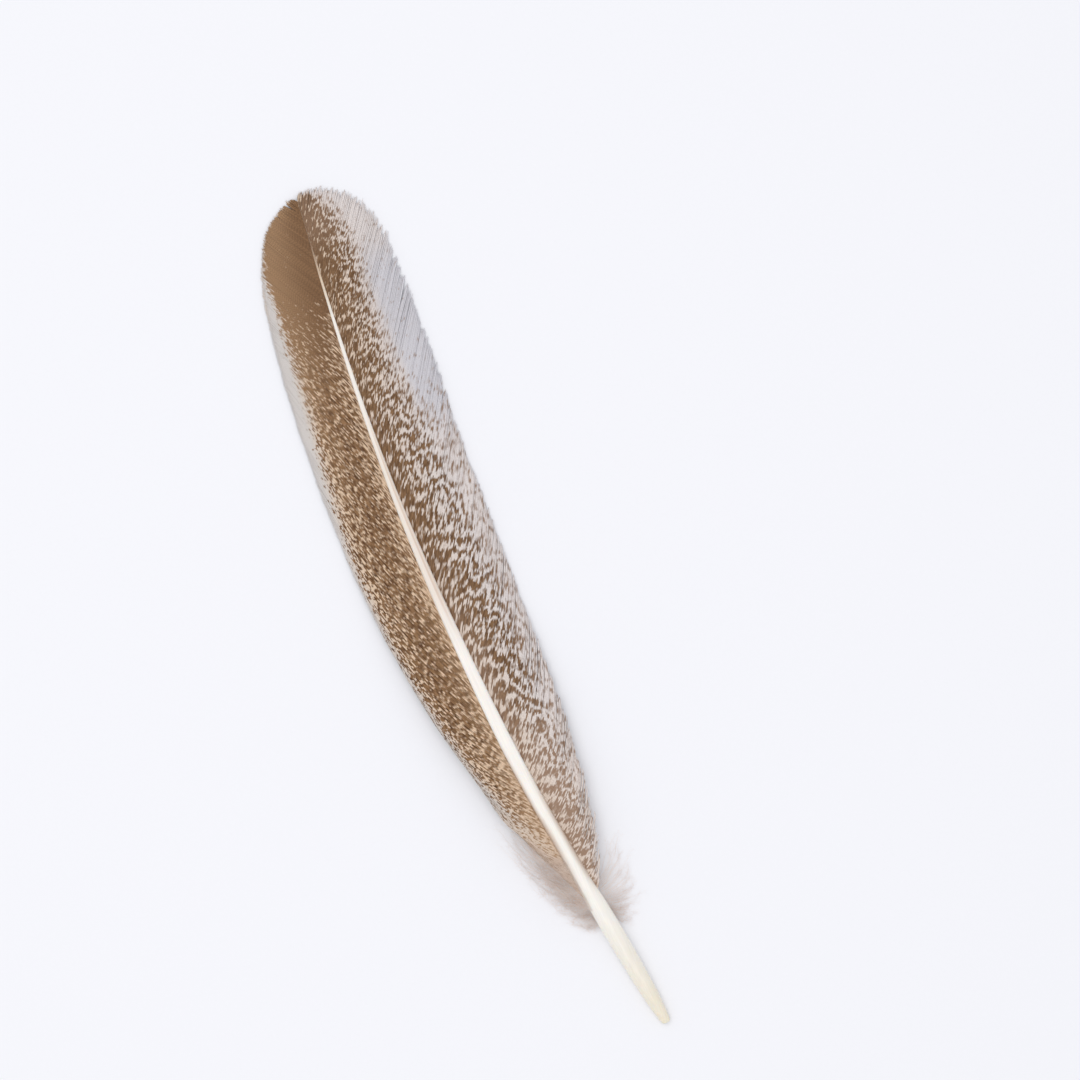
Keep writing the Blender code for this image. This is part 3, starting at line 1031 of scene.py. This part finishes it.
@dataclass
class Studio:
    """A pale floor, soft light from above and a camera that looks straight down."""

    view_centre: tuple[float, float] = (25.6, 162.3)
    view_width: float = 357.0
    view_up: tuple[float, float] = (0.4143, 0.9101)
    lens: float = 135.0
    sensor: float = 36.0
    floor_size: float = 12.0
    floor_colour: str = "F3F4F8"
    card_grains_per_m: float = 900.0
    sky_colour: str = "F7F8FC"
    sky_strength: float = 0.775
    lamp_colour: str = "FFFBF6"
    lamp_watts: float = 9.5
    lamp_size: float = 1.6
    lamp_place: tuple[float, float, float] = (-0.14, 0.12, 1.45)

    def make_floor(self) -> None:
        """A wide sheet of pale card under the feather."""
        bpy.ops.object.select_all(action="DESELECT")
        bpy.ops.mesh.primitive_plane_add(size=self.floor_size, location=(0, 0, 0))
        floor = bpy.context.active_object
        floor.name = "floor"
        material, shader, add = new_material("pale card")
        spot = add("TexCoord").outputs["Object"]
        grain = add("TexNoise", {"Vector": spot, "Scale": self.card_grains_per_m, "Detail": 2.0})
        level = add("MapRange", {0: grain, 3: 0.985, 4: 1.0})
        colour = add("VectorMath", {0: linear(self.floor_colour)[:3], "Scale": level}, operation="SCALE")
        set_inputs(shader, {"Base Color": colour, "Roughness": 0.9, "Specular IOR Level": 0.1})
        floor.data.materials.append(material)

    def make_lights(self) -> None:
        """A pale sky all round and one large soft lamp, almost straight above."""
        world = bpy.data.worlds.new("studio")
        world.use_nodes = True
        set_inputs(world.node_tree.nodes["Background"],
                   {"Color": self.sky_colour, "Strength": self.sky_strength})
        bpy.context.scene.world = world
        lamp = bpy.data.lights.new("soft box", "AREA")
        lamp.shape = "SQUARE"
        lamp.size = self.lamp_size
        lamp.energy = self.lamp_watts
        lamp.color = linear(self.lamp_colour)[:3]
        holder = bpy.data.objects.new("soft box", lamp)
        holder.location = self.lamp_place
        holder.rotation_mode = "QUATERNION"
        holder.rotation_quaternion = (-holder.location).to_track_quat("-Z", "Y")
        bpy.context.scene.collection.objects.link(holder)

    def make_camera(self) -> None:
        """A long lens straight above, turned so that the feather leans as it was laid."""
        centre = PLAN.to_frame(np.array([*self.view_centre, 0.0]))
        height = self.view_width * MM * self.lens / self.sensor
        data = bpy.data.cameras.new("camera")
        data.lens = self.lens
        data.sensor_width = self.sensor
        data.clip_start = height * 0.05
        data.clip_end = height * 20
        camera = bpy.data.objects.new("camera", data)
        camera.location = (centre[0], centre[1], height)
        camera.rotation_euler = (0, 0, -math.atan2(self.view_up[0], self.view_up[1]))
        bpy.context.scene.collection.objects.link(camera)
        bpy.context.scene.camera = camera

    def make(self) -> None:
        """Build the studio and show colours as they are."""
        self.make_floor()
        self.make_lights()
        self.make_camera()
        bpy.context.scene.view_settings.view_transform = "Standard"


# ---------------- this feather

LEADING_VANE = Vane(
    name="narrow_vane_barbs", node="leading_vane", slot="leading_barbs",
    fan=BarbFan(
        side=Side.LEADING, spacing=0.30, seed=11,
        bow=((49, 0.09), (90, 0.085), (110, 0.07), (150, 0.04), (185, 0.02), (230, 0.01), (300, 0.01)),
        clump=0.006, uneven=0.22,
        splits=((284.0, 0.30, 0.6, 2.5), (291.5, 0.8, 1.3, 1.8)),
        loose=((49, 1.0), (58, 0.9), (68, 0.6), (80, 0.3), (95, 0.06), (110, 0.0), (300, 0.0)),
        guides=((49, -12.0, 58.5), (53, -17.5, 74), (59, -22.8, 88), (67, -27.2, 103), (79, -31.2, 127),
                (92, -34.2, 149), (108, -35.4, 176), (125, -34.7, 197), (140, -33.6, 213),
                (159, -32.2, 228.5), (178, -30.6, 241.5), (201, -28.6, 254), (222, -26.3, 266),
                (243, -23.4, 277), (257.5, -19.9, 284.5), (271, -15.4, 291.8), (283.5, -9.8, 296),
                (290.7, -5.8, 298), (296.2, -2.6, 298.8))),
    finish=BarbFinish(
        name="brown barbs with cream dashes", brown_dark="5B3B22", brown_light="9A7551", brown_faded="C09C78",
        cream="E6CBAE", white="DAD4D0", shaded_white="DAD4D0", dash_mm=(2.1, 0.48), bar_mm=4.0, bar_height=0.06,
        contrast=0.126, crisp=0.06, blurred=0.17),
    margin=((58, 0.0), (120, 0.05), (150, 0.3), (180, 1.1), (200, 2.2), (220, 3.6), (235, 4.6), (250, 4.4),
            (268, 3.8), (280, 1.2), (288, 0.0), (299, 0.0)))

TRAILING_VANE = Vane(
    name="wide_vane_barbs", node="trailing_vane", slot="trailing_barbs",
    fan=BarbFan(
        side=Side.TRAILING, spacing=0.32, seed=23,
        bow=((49, 0.09), (90, 0.075), (110, 0.05), (130, 0.04), (157, 0.03), (180, 0.015), (200, 0.005),
             (300, 0.005)),
        clump=0.04, clump_size=6, tooth=5.0, uneven=0.45,
        splits=((214, 0.22, 0.9, 4.0), (236, 0.16, 0.7, 3.0), (226, 0.12, 0.5, 2.0), (176, 0.10, 0.5, 3.0)),
        loose=((50, 0.5), (58, 0.3), (75, 0.05), (90, 0.0), (160, 0.0), (190, 0.08), (245, 0.08), (270, 0.02),
               (300, 0.0)),
        guides=((50, -2.6, 55), (55, 1.0, 62), (61, 3.4, 72), (70, 6.3, 86), (82, 8.9, 104),
                (100, 11.2, 134), (120, 12.8, 158), (140, 14.4, 181), (160, 15.8, 204),
                (180, 18.2, 226), (200, 19.8, 246), (220, 20.9, 264), (238, 21.0, 278),
                (253, 18.9, 287), (266, 14.6, 293), (277, 9.6, 297), (287, 4.8, 299), (296.2, 0.4, 299.8))),
    finish=BarbFinish(
        name="brown barbs mottled with white", brown_dark="66482E", brown_light="92704F",
        brown_faded="A98C77", cream="E2C8AC", white="E8E0DD", shaded_white="DAD8DD", dash_mm=(2.7, 0.68), bar_mm=5.6,
        bar_height=0.10, contrast=0.138, crisp=0.11, blurred=0.21),
    closer=((49, 1.8), (70, 1.6), (95, 1.15), (120, 1.0), (190, 1.0), (230, 1.35), (300, 1.55)),
    margin=((55, 0.5), (70, 1.6), (100, 2.8), (140, 3.4), (160, 3.4), (180, 4.2), (200, 5.4), (210, 6.8),
            (225, 10.4), (240, 12.2), (258, 12.3), (270, 11.5), (285, 9.8), (293, 6.6), (297, 4.0),
            (299.5, 1.0)))

LEADING_DOWN = DownTuft(
    name="narrow_side_down", node="leading_down", barbules=58, barbule_mm=3.4,
    fans=(
        BarbFan(side=Side.LEADING, spacing=0.26, seed=37, bow=((0, 0.13), (300, 0.13)), root_rise=-0.25,
                edge_height=0.6, fall_power=0.8, fall_span=(0.0, 10.0), drift=0.8, ripple=0.5, uneven=2.6,
                guides=((39, -11.4, 38), (43, -17.0, 46), (47, -21.4, 56), (51, -24.2, 68), (56, -25.4, 81))),
        BarbFan(side=Side.LEADING, spacing=0.17, seed=53, bow=((0, 0.10), (300, 0.10)), root_rise=0.36,
                edge_height=2.4, fall_power=2.4, fall_span=(0.0, 10.0), root_bite=0.7, drift=0.8, ripple=0.3,
                uneven=3.0, guides=((44, -16.5, 55), (49, -19.5, 65), (55, -21.5, 76), (62, -21.0, 86)))))

TRAILING_DOWN = DownTuft(
    name="wide_side_down", node="trailing_down", barbules=56, barbule_mm=2.9,
    fans=(
        BarbFan(side=Side.TRAILING, spacing=0.30, seed=41, bow=((0, 0.11), (300, 0.11)), root_rise=-0.25,
                edge_height=0.6, fall_power=0.8, fall_span=(0.0, 10.0), drift=0.7, ripple=0.4, uneven=2.0,
                guides=((40, 0.2, 35), (44, 4.4, 42), (48, 7.0, 52), (52, 6.8, 65))),))


def main() -> None:
    """Build the studio and the feather's pieces in order."""
    logging.basicConfig(level=logging.INFO, format="%(message)s")
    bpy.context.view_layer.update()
    Studio().make()
    for part in (Shaft(), LEADING_VANE, TRAILING_VANE, LEADING_DOWN, TRAILING_DOWN):
        item = part.make()
        log.info("%s: %d faces", item.name, len(item.data.polygons))


if __name__ == "__main__":
    main()
